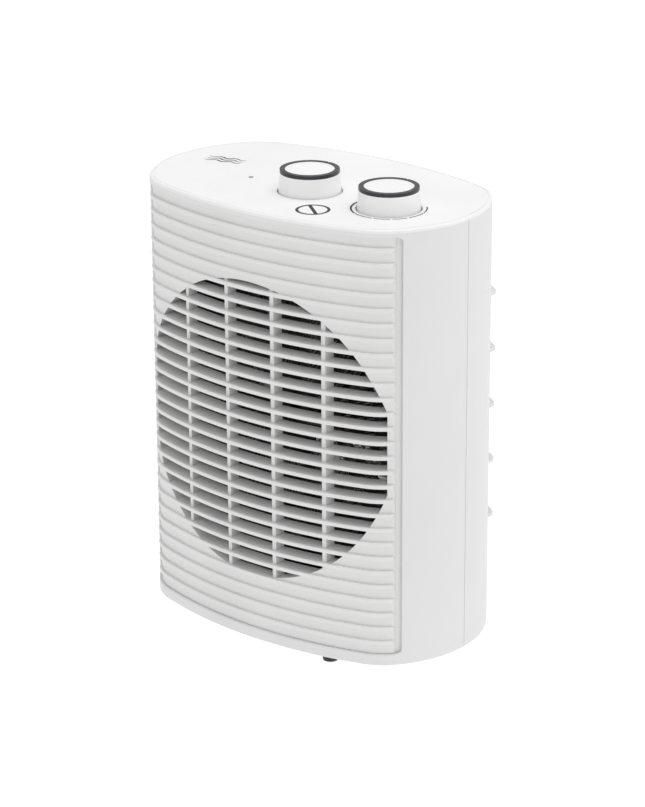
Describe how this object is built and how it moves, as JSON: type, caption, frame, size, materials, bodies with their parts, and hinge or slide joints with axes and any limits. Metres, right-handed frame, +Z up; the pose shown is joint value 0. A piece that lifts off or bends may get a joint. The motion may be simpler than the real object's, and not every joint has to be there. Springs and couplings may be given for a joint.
{
  "type": "ceramic space heater",
  "caption": "Upright oval fan heater: two-part casing, louvred front grille, rear intake, skirted selector and thermostat knobs, coil element, fan and tip-over switch.",
  "frame": {"origin": "middle of the bounding box on the surface the heater stands on", "axes": "+Z up, the louvred front faces -Y, +X is to the right seen from the front"},
  "size_m": [0.204, 0.1304, 0.2656],
  "materials": {
    "casing_plastic": "fine spark texture, satin",
    "cover_plastic": "satin",
    "grille_plastic": "satin",
    "rear_grille_plastic": "satin",
    "foot_rubber": "matte",
    "inlet_rubber": "matte",
    "natural_nylon": "satin, milky",
    "knob_plastic": "semi gloss",
    "ring_plastic": "satin",
    "shaft_steel": "ground",
    "lens_plastic": "clear amber, unlit",
    "lamp_glass": "clear",
    "thermostat_steel": "zinc plated",
    "black_phenolic": "moulded, satin",
    "duct_paint": "heat resistant black paint",
    "mica": "laminated, flecked",
    "nichrome": "oxidised wire",
    "sheet_steel": "zinc plated",
    "fan_plastic": "moulded, satin",
    "rotor_aluminium": "cast and turned",
    "lamination_steel": "stacked sheets, oiled",
    "copper_wire": "enamelled",
    "bronze": "sintered",
    "screw_steel": "zinc plated",
    "plunger_plastic": "satin",
    "spring_steel": "bright"
  },
  "bodies": {
    "casing": {"front_casing": "casing_plastic", "rear_casing": "casing_plastic", "top_cover": "cover_plastic", "front_grille": "grille_plastic", "rear_grille": "rear_grille_plastic", "foot_front_left": "foot_rubber", "foot_front_right": "foot_rubber", "foot_rear_left": "foot_rubber", "foot_rear_right": "foot_rubber", "cord_inlet": "inlet_rubber", "terminal_block": "natural_nylon", "pilot_lens": "lens_plastic", "pilot_lamp": "lamp_glass", "thermostat_body": "thermostat_steel", "selector_switch": "black_phenolic", "air_duct": "duct_paint", "mica_board_level": "mica", "mica_board_upright": "mica", "heating_coil_front": "nichrome", "heating_coil_rear": "nichrome", "board_clips": "sheet_steel", "thermal_cutout": "black_phenolic", "motor_stack": "lamination_steel", "motor_bobbin": "natural_nylon", "motor_winding": "copper_wire", "motor_bracket_front": "sheet_steel", "motor_bracket_rear": "sheet_steel", "bush_front": "bronze", "bush_rear": "bronze", "motor_support": "sheet_steel", "motor_screws": "screw_steel", "casing_screws": "screw_steel", "tip_spring": "spring_steel", "tip_guide": "casing_plastic", "tip_switch": "black_phenolic"},
    "fan": {"fan_impeller": "fan_plastic", "fan_clip": "sheet_steel", "motor_shaft": "shaft_steel", "motor_rotor": "rotor_aluminium"},
    "selector": {"selector_knob": "knob_plastic", "selector_knob_ring": "ring_plastic", "selector_shaft": "shaft_steel"},
    "thermostat": {"thermostat_knob": "knob_plastic", "thermostat_knob_ring": "ring_plastic", "thermostat_shaft": "shaft_steel"},
    "tip_plunger": {"tip_plunger": "plunger_plastic"},
    "tip_lever": {"tip_lever": "spring_steel"}
  },
  "joints": [
    {"name": "fan_spin", "type": "hinge", "parent": "casing", "child": "fan", "pos_m": [0, 0, 0.1294], "axis": [0, -1, 0], "continuous": true},
    {"name": "selector_turn", "type": "hinge", "parent": "casing", "child": "selector", "pos_m": [0.0045, -0.0149, 0.25], "axis": [0, 0, -1], "range_deg": [0, 135]},
    {"name": "thermostat_turn", "type": "hinge", "parent": "casing", "child": "thermostat", "pos_m": [0.0589, -0.0149, 0.25], "axis": [0, 0, -1], "range_deg": [0, 270]},
    {"name": "tip_plunger_slide", "type": "slide", "parent": "casing", "child": "tip_plunger", "axis": [0, 0, -1], "range_m": [0, 0.0035], "stiffness_N_per_m": 140, "springref_m": 0.0055, "deforming": ["tip_spring"]},
    {"name": "tip_lever_turn", "type": "hinge", "parent": "casing", "child": "tip_lever", "pos_m": [0.0492, -0.0492, 0.02537], "axis": [1, 0, 0], "range_deg": [0, 15]}
  ],
  "couplings": [
    {"joint": "tip_lever_turn", "follows": "tip_plunger_slide", "rad_per_m": 74.8}
  ]
}
